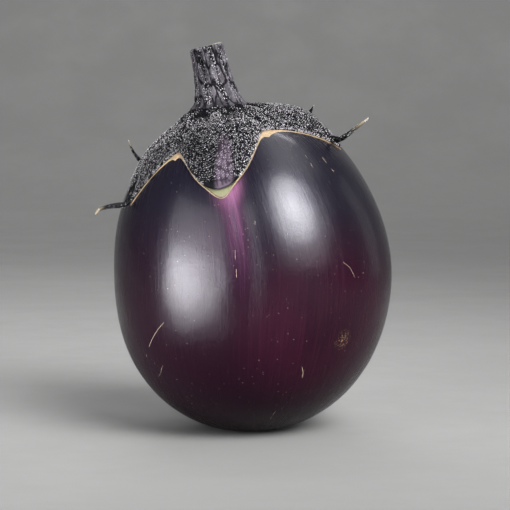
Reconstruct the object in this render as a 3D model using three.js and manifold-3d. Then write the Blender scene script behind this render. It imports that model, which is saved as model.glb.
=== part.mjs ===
// A globe eggplant, picked with its calyx and a short length of stem, standing on its blossom end.
// Millimetres, +Z up. The origin is the centre of the flat spot that the fruit rests on.
// The front, -Y, is the side under the broad blunt sepal. The calyx and stem lean towards -X.
// Three nodes: fruit, calyx (sepals with their tails and prickles in one piece) and stem.
import * as THREE from "three";
import { mergeVertices } from "three/addons/utils/BufferGeometryUtils.js";
import Module from "manifold-3d";

const wasm = await Module();
wasm.setup();

// ---- Driving dimensions of the fruit ----
const FRUIT_RADIUS = 55.4; // half the width at the widest level
const WIDEST_HEIGHT = 62.4; // of the widest level above the resting surface
const RISE = 63.4; // from the widest level up to the crown
const DROP = 63.5; // from the widest level down to where the round end would reach, uncut
const FULLNESS_ABOVE = 2.1; // 2 is an ellipse, more is squarer
const FULLNESS_BELOW = 2.13;
const BOW = 1.5; // the widest level stands this far towards +X of both ends
const RIB_HEIGHT = 0.75; // crests between the sepals stand this proud, furrows under them are as deep
const SHOULDER_SWELL = 2.7; // extra fullness of the shoulder under the right-hand sepal
const SHOULDER_SPREAD = THREE.MathUtils.degToRad(15);
const SHOULDER_DIRECTION = new THREE.Vector3(0.34, 0.08, 0.94).normalize();

// ---- Driving dimensions of the calyx ----
const CALYX_LEAN = THREE.MathUtils.degToRad(11.4); // of its axis from vertical, towards -X
const EDGE_THICKNESS = 1.1;
const SEPAL_THICKNESS = 2.1;
const SEAT_CENTRE = new THREE.Vector3(-12, 0, 128.6); // of the flat circle that the stem grows from
const SEAT_LEAN = THREE.MathUtils.degToRad(5.5);
const SEAT_RADIUS = 10.6;
const SEAT_SHARE = 0.34; // of the way from the axis to a notch, where the seat ends
const SEAM_GAP = 0.3; // between touching pieces
// Each sepal: its middle and the notch after it (degrees round the calyx axis, from the front towards +X),
// how far the sepal and the notch lie from the axis (degrees), how quickly the flanks narrow towards
// the tip and how blunt the tip is (1 for a point).
const SEPALS = [
  { middle: -6, notch: 28.8, reach: 54.2, notchOut: 33.4, narrowing: 1.8, bluntness: 2 },
  { middle: 82, notch: 117, reach: 51, notchOut: 34.5, narrowing: 1.8, bluntness: 1 },
  { middle: 147, notch: 183, reach: 50, notchOut: 35, narrowing: 1.6, bluntness: 1.4 },
  { middle: 219, notch: 256, reach: 51, notchOut: 35.5, narrowing: 1.7, bluntness: 1.4 },
  { middle: 294, notch: 326.2, reach: 53, notchOut: 34.8, narrowing: 1.3, bluntness: 1 },
];
// Each tail continues a sepal's tip through points given by how far they lie past the tip (millimetres
// along the skin), how high they stand off the skin and how far they turn aside (degrees round the axis).
const TAILS = [
  { sepal: 1, path: [[-1.6, 3.3, -8], [-0.1, 7.2, -8], [1, 12.2, -8], [2.1, 18, -8]] },
  { sepal: 2, path: [[1.5, 1.8, 0], [6, 4.2, -1], [9, 8, -3], [10.5, 12, -6]] },
  { sepal: 3, path: [[2, 1.4, 0], [7.5, 4.4, 2], [12, 6.2, 5], [15.5, 6.4, 9]] },
  { sepal: 4, path: [[0.5, 1.8, 0], [3.9, 7.8, 0], [5.9, 11.6, 0], [8, 13.2, 0]] },
];
const TAIL_RADIUS = 1.9;
const TAIL_TIP_RADIUS = 0.42;
// Each prickle: where it stands on the calyx (degrees round and from the axis), its length, and how much
// it leans towards the edge, as a share of its length.
const PRICKLES = [
  { round: 272, out: 31, length: 2.2, lean: 0.2 },
  { round: 268, out: 37, length: 8.5, lean: -0.3 },
  { round: 97, out: 35, length: 5, lean: 0.1 },
  { round: 232, out: 26, length: 4.2, lean: 0.35 },
  { round: 211, out: 36, length: 3, lean: 0.5 },
  { round: 158, out: 24, length: 3.6, lean: 0.4 },
  { round: 141, out: 37, length: 4.4, lean: 0.4 },
];
const PRICKLE_RADIUS = 1.0;

// ---- Driving dimensions of the stem ----
const STEM_LENGTH = 24.2; // above the calyx seat
const STEM_RADIUS = 6.2;
const STEM_FLARE = 4.2; // added to the radius at the seat
const FLARE_HEIGHT = 8; // over which the flare dies away
const STEM_LEAN = THREE.MathUtils.degToRad(12.2);
const STEM_RIDGES = 9;
const RIDGE_HEIGHT = 0.42;
const CUT_BEVEL = 0.5;
const CUT_SLANT = 0.07; // rise of the cut face per millimetre towards +X

// ---- How finely the pieces are faceted ----
const FRUIT_COLUMNS = 70;
const FRUIT_RINGS = 32;
const STEPS_PER_HALF_SEPAL = 10;
const STEM_COLUMNS = 54;
const STEM_RINGS = 11;

const radians = THREE.MathUtils.degToRad;
const centre = new THREE.Vector3(0, 0, WIDEST_HEIGHT);
const calyxAxis = new THREE.Vector3(-Math.sin(CALYX_LEAN), 0, Math.cos(CALYX_LEAN));
const calyxRight = new THREE.Vector3(Math.cos(CALYX_LEAN), 0, Math.sin(CALYX_LEAN));
const calyxBack = new THREE.Vector3(0, 1, 0);

// The sepal at an angle round the calyx axis, and how far across it that angle is, from -1 to 1.
function sepalAt(round) {
  const lastNotch = SEPALS.at(-1).notch - 360;
  const turned = THREE.MathUtils.euclideanModulo(round - lastNotch, 360) + lastNotch;
  let before = lastNotch;
  for (const sepal of SEPALS) {
    if (turned <= sepal.notch) {
      const side = turned < sepal.middle ? sepal.middle - before : sepal.notch - sepal.middle;
      const share = (turned - before) / (sepal.notch - before);
      return { sepal, across: (turned - sepal.middle) / side, share };
    }
    before = sepal.notch;
  }
  return { sepal: SEPALS[0], across: -1, share: 0 };
}

// Degrees from the calyx axis to the line through the notches.
function notchAngle(round) {
  const { sepal, share } = sepalAt(round);
  const before = SEPALS.at(SEPALS.indexOf(sepal) - 1);
  return THREE.MathUtils.lerp(before.notchOut, sepal.notchOut, share);
}

// Degrees from the calyx axis to the sepals' outline.
function outlineAngle(round) {
  const { sepal, across } = sepalAt(round);
  const width = Math.max(0, 1 - Math.abs(across) ** sepal.bluntness) ** sepal.narrowing;
  const notch = notchAngle(round);
  return notch + (sepal.reach - notch) * width;
}

// The angle of a direction round the fruit, along meridians that run from the calyx to the blossom end.
function meridian(direction) {
  const pull = (Math.max(0, direction.z) / calyxAxis.z) ** 2;
  const x = direction.x - pull * calyxAxis.x;
  const y = direction.y - pull * calyxAxis.y;
  return THREE.MathUtils.radToDeg(Math.atan2(x, -y));
}

// Height of the ribs and of the swollen shoulder in a direction from the centre.
function relief(direction) {
  const crown = THREE.MathUtils.smoothstep(direction.angleTo(calyxAxis), 0.05, 0.6);
  const fade = crown * THREE.MathUtils.smoothstep(direction.z, -0.93, 0.55);
  const { across } = sepalAt(meridian(direction));
  const rib = -RIB_HEIGHT * Math.cos(Math.PI * across) * fade;
  const away = direction.angleTo(SHOULDER_DIRECTION) / SHOULDER_SPREAD;
  return rib + SHOULDER_SWELL * Math.exp(-away * away);
}

// The point of the skin in a direction from the centre, lifted off the skin by some height.
function skin(direction, lift = 0) {
  const above = direction.z > 0;
  const n = above ? FULLNESS_ABOVE : FULLNESS_BELOW;
  const outwards = Math.hypot(direction.x, direction.y) / FRUIT_RADIUS;
  const upwards = Math.abs(direction.z) / (above ? RISE : DROP);
  let distance = (outwards ** n + upwards ** n) ** (-1 / n) + relief(direction) + lift;
  if (direction.z < 0) distance = Math.min(distance, WIDEST_HEIGHT / -direction.z);
  const point = centre.clone().addScaledVector(direction, distance);
  point.x += BOW * (1 - THREE.MathUtils.smoothstep(Math.abs(direction.z), 0, above ? 0.7 : 1));
  return point;
}

// The direction at an angle from the calyx axis and an angle round it, both in degrees.
function calyxDirection(out, round) {
  const a = radians(out);
  const b = radians(round);
  return new THREE.Vector3()
    .addScaledVector(calyxAxis, Math.cos(a))
    .addScaledVector(calyxRight, Math.sin(a) * Math.sin(b))
    .addScaledVector(calyxBack, -Math.sin(a) * Math.cos(b))
    .multiply(new THREE.Vector3(FRUIT_RADIUS, FRUIT_RADIUS, RISE))
    .normalize();
}

// A lathe of [radius, height] points about +Z, with each vertex moved by place(radius, turn, height),
// turn from 0 to 1.
function wrappedLathe(profile, columns, place) {
  const points = profile.map(([radius, height]) => new THREE.Vector2(radius, height));
  const geometry = new THREE.LatheGeometry(points, columns);
  const position = geometry.getAttribute("position");
  for (let i = 0; i < position.count; i++) {
    const [radius, height] = profile[i % profile.length];
    const turn = (Math.floor(i / profile.length) % columns) / columns;
    position.setXYZ(i, ...place(radius, radius === 0 ? 0 : turn, height).toArray());
  }
  return geometry;
}

// A closed geometry as a manifold-3d solid, turned face out if its profile ran the other way.
function solid(geometry) {
  const bare = geometry.clone();
  bare.deleteAttribute("normal");
  bare.deleteAttribute("uv");
  const merged = mergeVertices(bare, 1e-3);
  const vertProperties = Float32Array.from(merged.getAttribute("position").array);
  const triVerts = Uint32Array.from(merged.getIndex().array);
  const made = new wasm.Manifold(new wasm.Mesh({ numProp: 3, vertProperties, triVerts }));
  if (made.volume() > 0) return made;
  for (let i = 0; i < triVerts.length; i += 3) {
    [triVerts[i + 1], triVerts[i + 2]] = [triVerts[i + 2], triVerts[i + 1]];
  }
  return new wasm.Manifold(new wasm.Mesh({ numProp: 3, vertProperties, triVerts }));
}

function geometryOf(made) {
  const { vertProperties, triVerts } = made.getMesh();
  const geometry = new THREE.BufferGeometry();
  geometry.setAttribute("position", new THREE.BufferAttribute(vertProperties, 3));
  geometry.setIndex(new THREE.BufferAttribute(triVerts, 1));
  geometry.computeVertexNormals();
  return geometry;
}

function part(name, made, color, roughness) {
  const material = new THREE.MeshStandardMaterial({ color, roughness, metalness: 0 });
  const mesh = new THREE.Mesh(geometryOf(made), material);
  mesh.name = name;
  return mesh;
}

// The whole berry, closed under the calyx, cut flat where it rests.
function fruit() {
  const flatShare = (WIDEST_HEIGHT / DROP) ** FULLNESS_BELOW;
  const flatRadius = FRUIT_RADIUS * (1 - flatShare) ** (1 / FULLNESS_BELOW);
  const start = Math.atan2(flatRadius, WIDEST_HEIGHT);
  const profile = [[0, -1]];
  for (let i = 0; i < FRUIT_RINGS; i++) {
    const angle = start + ((Math.PI - start) * i) / FRUIT_RINGS;
    profile.push([Math.sin(angle), -Math.cos(angle)]);
  }
  profile.push([0, 1]);
  const made = wrappedLathe(profile, FRUIT_COLUMNS, (radius, turn, height) => {
    const round = 2 * Math.PI * turn;
    return skin(new THREE.Vector3(radius * Math.sin(round), -radius * Math.cos(round), height));
  });
  return solid(made);
}

// A tapered spike bent onto a curve that starts near the skin.
// At its root, flatness thins it towards the skin.
function spike(curve, rootRadius, tipRadius, sides, rings, flatness) {
  const profile = [[0, 0]];
  for (let i = 0; i <= rings; i++) {
    const along = i / rings;
    const swell = 0.45 + 0.55 * THREE.MathUtils.smoothstep(along, 0, 0.2);
    profile.push([THREE.MathUtils.lerp(rootRadius, tipRadius, along ** 0.9) * swell, along]);
  }
  profile.push([0, 1]);
  const made = wrappedLathe(profile, sides, (radius, turn, along) => {
    const point = curve.getPoint(along);
    const tangent = curve.getTangent(along);
    const aside = curve.getPoint(0).sub(curve.getPoint(1)).cross(centre.clone().sub(point));
    aside.addScaledVector(tangent, -aside.dot(tangent)).normalize();
    const thickness = THREE.MathUtils.lerp(flatness, 1, along);
    return point
      .addScaledVector(aside, radius * Math.cos(2 * Math.PI * turn))
      .addScaledVector(tangent.cross(aside), thickness * radius * Math.sin(2 * Math.PI * turn));
  });
  return solid(made);
}

// A sepal's thin tail: rooted in the sepal just short of its tip, it leaves the skin along its path.
function tail({ sepal, path }) {
  const { middle, reach } = SEPALS[sepal];
  const at = (past, height, aside) => {
    const degrees = THREE.MathUtils.radToDeg(past / FRUIT_RADIUS);
    return skin(calyxDirection(reach + degrees, middle + aside), SEAM_GAP + height);
  };
  const turn = path[0][2];
  const root = [at(-9, SEPAL_THICKNESS * 0.5, turn * 0.6), at(-5, SEPAL_THICKNESS * 0.7, turn * 0.85)];
  const curve = new THREE.CatmullRomCurve3([...root, ...path.map((point) => at(...point))]);
  return spike(curve, TAIL_RADIUS, TAIL_TIP_RADIUS, 8, 8, 0.6);
}

function prickle({ round, out, length, lean }) {
  const root = skin(calyxDirection(out, round), SEAM_GAP + SEPAL_THICKNESS * 0.4);
  const up = calyxDirection(out, round);
  const down = skin(calyxDirection(out + 4, round)).sub(root).normalize();
  const bend = root.clone().addScaledVector(up, 0.5 * length + SEPAL_THICKNESS * 0.4);
  const tip = root.clone().addScaledVector(up, length).addScaledVector(down, lean * length);
  const curve = new THREE.QuadraticBezierCurve3(root, bend, tip);
  return spike(curve, PRICKLE_RADIUS, 0.18, 6, 3, 1);
}

// A point about the stem's line: at a distance from it and an angle round it,
// on a ring that leans by some angle.
function aboutStem(radius, round, height, lean) {
  const b = radians(round);
  return SEAT_CENTRE.clone()
    .add(new THREE.Vector3(-Math.sin(STEM_LEAN), 0, Math.cos(STEM_LEAN)).multiplyScalar(height))
    .add(new THREE.Vector3(Math.cos(lean), 0, Math.sin(lean)).multiplyScalar(radius * Math.sin(b)))
    .addScaledVector(calyxBack, -radius * Math.cos(b));
}

// The angle round the calyx axis at a share of a full turn: each half sepal takes an equal share.
function roundOf(turn) {
  const knots = [SEPALS.at(-1).notch - 360];
  SEPALS.forEach((sepal) => knots.push(sepal.middle, sepal.notch));
  const step = turn * (knots.length - 1);
  const i = Math.floor(step);
  return THREE.MathUtils.lerp(knots[i], knots[i + 1] ?? knots[i], step - i);
}

// Thickness of the sepals at a share of the way from the axis to the edge; creases run down to the notches.
function sepalThickness(share, across) {
  const crease = 0.7 * Math.abs(across) ** 6 * THREE.MathUtils.smoothstep(share, SEAT_SHARE, 0.7);
  const rim = (SEPAL_THICKNESS - EDGE_THICKNESS) * THREE.MathUtils.smoothstep(share, 0.7, 1);
  return SEPAL_THICKNESS - Math.max(crease * (1 - rim), rim);
}

// A point of the calyx over the skin, at a share of the way from the axis to the edge.
function calyxPoint(share, round, height) {
  const reached = Math.max(0, (share - SEAT_SHARE) / (1 - SEAT_SHARE)) ** 1.5;
  const notch = notchAngle(round);
  const out = notch * share + (outlineAngle(round) - notch) * reached;
  return skin(calyxDirection(out, round), SEAM_GAP + height);
}

// The top of the calyx: flat in the seat, then falling away from the seat's rim
// to the thickness of the sepals.
function calyxTop(share, round) {
  const { across } = sepalAt(round);
  if (share <= SEAT_SHARE) return aboutStem((share / SEAT_SHARE) * SEAT_RADIUS, round, 0, SEAT_LEAN);
  const beyond = (share - SEAT_SHARE) / (1 - SEAT_SHARE);
  const seam = calyxPoint(SEAT_SHARE, round, SEPAL_THICKNESS);
  const rise = aboutStem(SEAT_RADIUS, round, 0, SEAT_LEAN).sub(seam);
  const top = calyxPoint(share, round, sepalThickness(share, across));
  return top.addScaledVector(rise, Math.exp(-((beyond / 0.22) ** 1.3)));
}

// The sepals' shell over the crown: a flat disc's lathe wrapped on the skin,
// its rim drawn out to the sepals.
function calyxShell() {
  const outer = [0.41, 0.49, 0.58, 0.68, 0.79, 0.9, 1];
  const inner = [1, 0.9, 0.79, 0.66, 0.52, 0.36, 0.19];
  const profile = [
    [0, 1],
    [SEAT_SHARE, 1],
    ...outer.map((share) => [share, 1]),
    ...inner.map((share) => [share, 0]),
    [0, 0],
  ];
  const columns = 2 * SEPALS.length * STEPS_PER_HALF_SEPAL;
  const made = wrappedLathe(profile, columns, (share, turn, side) => {
    const round = roundOf(turn);
    return side === 1 ? calyxTop(share, round) : calyxPoint(share, round, 0.1 * (1 - share));
  });
  return solid(made);
}

function calyx() {
  return wasm.Manifold.union([calyxShell(), ...TAILS.map(tail), ...PRICKLES.map(prickle)]);
}

// The stem: a ridged, flared post on the seat, cut a little aslant at its top.
function stem() {
  const profile = [[0, 0]];
  for (let i = 0; i <= STEM_RINGS; i++) {
    const height = (STEM_LENGTH - CUT_BEVEL) * (i / STEM_RINGS) ** 1.25;
    profile.push([STEM_RADIUS + STEM_FLARE * Math.exp(-height / FLARE_HEIGHT), height]);
  }
  profile.push([STEM_RADIUS - CUT_BEVEL, STEM_LENGTH], [0, STEM_LENGTH]);
  const made = wrappedLathe(profile, STEM_COLUMNS, (radius, turn, height) => {
    const round = 360 * turn;
    const share = height / STEM_LENGTH;
    const ridge = RIDGE_HEIGHT * Math.cos(radians(STEM_RIDGES * round)) * Math.min(1, 3 * share + 0.35);
    const slant = CUT_SLANT * radius * Math.sin(radians(round)) * share ** 4;
    const lean = THREE.MathUtils.lerp(SEAT_LEAN, STEM_LEAN, Math.min(1, 2 * share));
    const out = radius === 0 ? 0 : radius + ridge;
    return aboutStem(out, round, SEAM_GAP + height + slant, lean);
  });
  return solid(made);
}

const eggplant = new THREE.Group();
eggplant.add(part("fruit", fruit(), 0x241019, 0.3));
eggplant.add(part("calyx", calyx(), 0x2b2a2f, 0.85));
eggplant.add(part("stem", stem(), 0x353239, 0.85));

export default eggplant;
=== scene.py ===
"""A globe eggplant standing on its round end: glossy skin, hairy lobed calyx and a short cut stem.

Shapes are worked out in millimetres in the part's own frame: +Z up, origin at the centre of the
flat spot that the fruit rests on, -Y the side under the broad blunt sepal.
"""

import math
import random

import bmesh
import bpy
from bpy.props import FloatProperty, FloatVectorProperty, IntProperty, PointerProperty
from mathutils import Matrix, Vector, noise


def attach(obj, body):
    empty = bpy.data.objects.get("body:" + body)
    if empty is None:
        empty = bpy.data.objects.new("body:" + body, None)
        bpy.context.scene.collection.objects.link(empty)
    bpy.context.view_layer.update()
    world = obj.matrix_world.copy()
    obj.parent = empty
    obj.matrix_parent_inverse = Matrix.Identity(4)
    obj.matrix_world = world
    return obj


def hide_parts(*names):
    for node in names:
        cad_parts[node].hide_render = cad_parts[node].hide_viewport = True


bl_info = {
    "name": "Globe eggplant",
    "version": (1, 0, 0),
    "blender": (4, 5, 0),
    "location": "View3D > Sidebar > Eggplant",
    "description": "Builds a globe eggplant with its calyx, stem and fine hairs",
    "category": "Add Mesh",
}

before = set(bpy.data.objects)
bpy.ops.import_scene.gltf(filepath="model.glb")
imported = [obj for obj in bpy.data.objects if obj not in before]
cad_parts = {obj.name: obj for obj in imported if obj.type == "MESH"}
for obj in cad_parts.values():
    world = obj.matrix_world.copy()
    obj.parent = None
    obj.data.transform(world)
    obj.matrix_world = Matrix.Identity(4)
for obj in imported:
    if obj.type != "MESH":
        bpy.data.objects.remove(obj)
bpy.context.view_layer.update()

MM = 0.001

# ---- Shape of the fruit, shared with the solids, in millimetres ----
FRUIT_RADIUS = 55.4
WIDEST_HEIGHT = 62.4
RISE = 63.4
DROP = 63.5
FULLNESS_ABOVE = 2.1
FULLNESS_BELOW = 2.13
BOW = 1.5
SHOULDER_SWELL = 2.7
SHOULDER_SPREAD = math.radians(15)
SHOULDER_DIRECTION = Vector((0.34, 0.08, 0.94)).normalized()
RIB_HEIGHT = 0.75

# ---- Shape of the calyx and stem, shared with the solids ----
CALYX_LEAN = math.radians(11.4)
SEAT_CENTRE = Vector((-12, 0, 128.6))
SEAT_LEAN = math.radians(5.5)
SEAT_RADIUS = 10.6
SEAT_SHARE = 0.34
SEAM_GAP = 0.3
STEM_LEAN = math.radians(12.2)
STEM_LENGTH = 24.2
STEM_RADIUS = 6.2
STEM_FLARE = 4.2
FLARE_HEIGHT = 8
# Each sepal: its middle and the notch after it (degrees round), how far the sepal and the notch lie
# from the axis (degrees), how quickly it narrows and how blunt its tip is.
SEPALS = [
    (-6, 28.8, 54.2, 33.4, 1.8, 2),
    (82, 117, 51, 34.5, 1.8, 1),
    (147, 183, 50, 35, 1.6, 1.4),
    (219, 256, 51, 35.5, 1.7, 1.4),
    (294, 326.2, 53, 34.8, 1.3, 1),
]
FRONT, RIGHT, BACK_RIGHT, BACK_LEFT, LEFT = range(5)
TAIL_TIP = 0.42
PRICKLE_RADIUS = 1.0
PRICKLE_TIP = 0.14
# The pale crescent under the front sepal: its middle and its widths across the sepal, its height.
CRESCENT = (0.03, 0.2, 0.13)
CRESCENT_HEIGHT = 3.3
# Each tail: its sepal and its path as (past the tip, off the skin, turned aside).
TAILS = [
    (RIGHT, [(-1.6, 3.3, -8), (-0.1, 7.2, -8), (1, 12.2, -8), (2.1, 18, -8)]),
    (BACK_RIGHT, [(1.5, 1.8, 0), (6, 4.2, -1), (9, 8, -3), (10.5, 12, -6)]),
    (BACK_LEFT, [(2, 1.4, 0), (7.5, 4.4, 2), (12, 6.2, 5), (15.5, 6.4, 9)]),
    (LEFT, [(0.5, 1.8, 0), (3.9, 7.8, 0), (5.9, 11.6, 0), (8, 13.2, 0)]),
]
# Scratches: the width and the directions (degrees round and up) that each passes through.
SCARS = [
    (0.24, [(-37.8, -15.2), (-42.4, -19.2), (-47.5, -24.1), (-54.7, -31.2)]),
    (0.12, [(-43.5, -33.4), (-48.3, -37.9), (-60.6, -44.1)]),
    (0.18, [(22.8, -32.6), (24.0, -34.9), (24.4, -37.6)]),
    (0.16, [(16.2, -54.5), (15.1, -56.4), (14.6, -60.1)]),
    (0.1, [(37.4, 8.2), (40.9, 5.7), (43.5, 1.7)]),
    (0.1, [(-6.8, 13.9), (-6.8, 10.1)]),
    (0.1, [(-6.6, 6.6), (-6.5, 3.2)]),
    (0.1, [(1.8, 25.0), (1.7, 23.5)]),
    (0.09, [(24.6, 53.4), (26.4, 48.7)]),
    (0.1, [(33.2, 51.1), (34.3, 45.2)]),
    (0.1, [(45.1, 49.9), (47.8, 43.1)]),
]
# Each prickle: degrees round and out from the calyx axis, its length and its lean towards the edge.
PRICKLES = [
    (272, 31, 2.2, 0.2),
    (268, 37, 8.5, -0.3),
    (97, 35, 5, 0.1),
    (232, 26, 4.2, 0.35),
    (211, 36, 3, 0.5),
    (158, 24, 3.6, 0.4),
    (141, 37, 4.4, 0.4),
]

AXIS = Vector((-math.sin(CALYX_LEAN), 0, math.cos(CALYX_LEAN)))
RIGHTWARD = Vector((math.cos(CALYX_LEAN), 0, math.sin(CALYX_LEAN)))
BACKWARD = Vector((0, 1, 0))
CENTRE = Vector((0, 0, WIDEST_HEIGHT))

# ---- Where the parts of a shell begin and end, as shares of the way over it ----
# The calyx: the seat of the stem, the upper face, the rounded edge, then the underside.
SEAT_END = 0.1
TOP_END = 0.6
EDGE_END = 0.68
HAIRS_END = 0.65
# The stem: the cut face, the side, then the foot inside the calyx.
CUT_END = 0.12
SIDE_END = 0.94
# Millimetres of skin to a radian: from the calyx down, and round the fruit for its streaks.
SKIN_DOWN = 59
SKIN_ROUND = 55
STREAK_LENGTH = 190

# ---- Places of marks, each a centre and the radii of an ellipsoid in millimetres ----
BLUSH = ((32.73, -47.5, 45.24), (45.455, 50, 47.62))
SCURF = ((32.45, -37.1, 42), (6.4516, 6.4516, 6.6667))
FLUSH = ((-9.511, -37.5, 102), (4.4444, 25, 20))
# Painted shade: the hairs on the front and left sepals are darkened inside this ellipsoid.
PAINTED_SHADE_SIDE = ((-30, -33.33, 103.33), (40, 33.333, 33.333))
# The skin's gloss grows between these two heights.
GLOSS_GROWS = (32, 76)
SCURF_COLOUR = (0.5, 0.33, 0.15)
BLOSSOM_SCAR_COLOUR = (0.3, 0.19, 0.1)
CREASE_COLOUR = (0.0015, 0.0013, 0.002)
BARK_SPECK_COLOUR = (0.24, 0.23, 0.25)

# ---- Hairs: steps of a sequence that spreads points evenly in two directions ----
EVEN_ROUND = 0.7548776662
EVEN_ALONG = 0.5698402910
HAIRS_ON_TAIL = 600

# ---- Stage, in metres ----
NEAR_LIGHT_HEIGHT = 0.0604
MIDDLE = (0.0015, 0, 0.062)
# Each broad light: its place, what it faces, its size, its setting and its spread in degrees.
LIGHTS = [
    ("left soft", (-0.23, -0.26, 0.175), (-0.162, -0.188, 0.162), (0.34, 0.34), "halo_power", 95),
    ("right key", (0.45, -0.585, 0.67), MIDDLE, (0.7, 0.78), "right_power", 51),
    ("right soft", (0.33, -0.37, 0.31), MIDDLE, (0.56, 0.5), "soft_power", 64),
    ("top light", (0.25, 0, 0.7), MIDDLE, (0.6, 0.6), "top_power", 60),
    ("back light", (-0.15, 0.8, 0.55), MIDDLE, (0.6, 0.6), "back_power", 75),
    ("edge light", (0.75, 0.42, 0.25), MIDDLE, (0.25, 0.6), "edge_power", 180),
    ("backdrop light", (0, 0.9, 1.7), (0, 2.4, 0.3), (1.6, 0.6), "backdrop_power", 180),
]
CAMERA_LENS = 132.8
CAMERA_AIM = (0.0021, 0, 0.0692)
CAMERA_DISTANCE = 0.75
CAMERA_RAISED = math.radians(5)


# ---------------------------------------------------------------- settings


def colour(name, description, default):
    return FloatVectorProperty(
        name=name, description=description, subtype="COLOR", size=3, min=0, max=1, default=default
    )


def length(name, description, default):
    return FloatProperty(name=name, description=description, unit="LENGTH", min=0, default=default)


def share(name, description, default):
    return FloatProperty(
        name=name, description=description, subtype="FACTOR", min=0, max=1, default=default
    )


def power(name, description, default):
    return FloatProperty(name=name, description=description, unit="POWER", min=0, default=default)


def whole_number(name, description, default):
    return IntProperty(name=name, description=description, min=0, default=default)


class EggplantSkinSettings(bpy.types.PropertyGroup):
    rib_height: length("Rib height", "How proud the crests between the sepals stand", 0.00075)
    furrow_depth: length("Furrow depth", "Depth of the narrow furrow under the front sepal", 0.0008)
    black: colour("Upper skin", "Colour of the blue-black skin near the calyx", (0.0032, 0.0029, 0.0058))
    dark: colour("Dark skin", "Colour of the purple-black skin lower down", (0.0057, 0.0011, 0.0036))
    maroon: colour("Maroon skin", "Colour of the thinner skin low in front", (0.0145, 0.0022, 0.0068))
    magenta: colour("Magenta", "Colour of the stripe below the front sepal", (0.055, 0.013, 0.04))
    glow: colour("Glow", "Colour of the skin just below the pale crescent", (0.15, 0.062, 0.115))
    pale: colour("Pale crescent", "Colour of the skin that the sepal shaded", (0.1, 0.1, 0.057))
    scab: colour("Scratches", "Colour of the corky scratches and specks", (0.34, 0.27, 0.2))
    roughness: share("Roughness", "Roughness of the skin under its wax", 0.26)
    wax: share("Wax", "Strength of the clear waxy coat", 0.28)


class EggplantCalyxSettings(bpy.types.PropertyGroup):
    thickness: length("Sepal thickness", "Thickness of the sepals", 0.0021)
    edge_thickness: length("Edge thickness", "Thickness of the sepals at their edge", 0.0009)
    tail_radius: length("Tail radius", "Half the width of a sepal tail at its foot", 0.0019)
    flesh: colour("Calyx", "Colour of the calyx between its hairs", (0.0015, 0.0015, 0.0021))
    bloom: colour("Calyx bloom", "Colour of the dusty bloom on the calyx", (0.05, 0.049, 0.056))
    flush: colour("Flush", "Colour of the middle of the front sepal", (0.058, 0.044, 0.06))
    lip: colour("Sepal lip", "Colour of the front sepal's bare lip", (0.003, 0.0029, 0.0045))
    tan: colour("Dry tips", "Colour of the dry ends of the tails and prickles", (0.22, 0.185, 0.125))
    cork: colour("Corky rim", "Colour of the corky line round the calyx", (0.25, 0.175, 0.1))
    rim_width: length("Rim width", "Width of the corky line", 0.0007)


class EggplantStemSettings(bpy.types.PropertyGroup):
    ridge_height: length("Ridge height", "Height of the ridges along the stem", 0.00042)
    bark: colour("Stem", "Colour of the stem's ridges", (0.105, 0.096, 0.111))
    groove: colour("Grooves", "Colour of the cracks in the stem's bark", (0.004, 0.0035, 0.005))
    pith: colour("Cut face", "Colour of the pith in the cut end", (0.42, 0.42, 0.27))
    wood: colour("Cut ring", "Colour of the woody ring in the cut end", (0.27, 0.23, 0.12))


class EggplantHairSettings(bpy.types.PropertyGroup):
    calyx_hairs: whole_number("Calyx hairs", "Number of star hairs on the calyx", 15000)
    calyx_down: whole_number("Calyx down", "Number of short single hairs on the calyx", 11000)
    stem_hairs: whole_number("Stem hairs", "Number of star hairs on the stem", 3600)
    ray: length("Ray length", "Length of the rays of a star hair", 0.00025)
    down: length("Down length", "Length of the short single hairs", 0.00024)
    hair: colour("Hair", "Colour of the fine hairs", (0.4, 0.39, 0.415))


class EggplantStageSettings(bpy.types.PropertyGroup):
    floor: colour("Floor", "Colour of the floor and backdrop", (0.135, 0.135, 0.133))
    left_power: power("Left light", "Power of the small near lights on the left", 0.039)
    halo_power: power("Left soft light", "Power of the broad light on the left", 0.62)
    right_power: power("Right light", "Power of the light at the upper right", 5.4)
    soft_power: power("Right soft light", "Power of the broad light on the right", 0.6)
    top_power: power("Top light", "Power of the light above", 0.4)
    back_power: power("Back light", "Power of the light behind on the left", 0.6)
    backdrop_power: power("Backdrop light", "Power of the light on the backdrop", 48)
    edge_power: power("Edge light", "Power of the faint light behind on the right", 0.25)


# ---------------------------------------------------------------- shape


def smooth(value, low, high):
    """0 below low, 1 above high, an even curve between."""
    at = min(1, max(0, (value - low) / (high - low)))
    return at * at * (3 - 2 * at)


def blend(a, b, at):
    return a + (b - a) * at


def hump(value, middle, left, right):
    """A smooth bump, 1 at its middle, with a width for each side."""
    return math.exp(-(((value - middle) / (left if value < middle else right)) ** 2))


def sepal_at(turned):
    """The sepal at an angle round the axis, how far across it (-1 to 1) and how far along (0 to 1)."""
    last = SEPALS[-1][1] - 360
    turned = (turned - last) % 360 + last
    before = last
    for number, (middle, notch, *_) in enumerate(SEPALS):
        if turned <= notch:
            side = middle - before if turned < middle else notch - middle
            return number, (turned - middle) / side, (turned - before) / (notch - before)
        before = notch
    return 0, -1, 0


def notch_angle(turned):
    number, _, along = sepal_at(turned)
    return blend(SEPALS[number - 1][3], SEPALS[number][3], along)


def outline_angle(turned):
    """Degrees from the calyx axis to the edge of the sepals."""
    number, across, _ = sepal_at(turned)
    notch = notch_angle(turned)
    _, _, reach, _, narrowing, bluntness = SEPALS[number]
    return notch + (reach - notch) * max(0, 1 - abs(across) ** bluntness) ** narrowing


def heading(turned, down):
    """The direction at some radians round from the front and down from the top."""
    level = math.sin(down)
    return Vector((level * math.sin(turned), -level * math.cos(turned), math.cos(down)))


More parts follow.
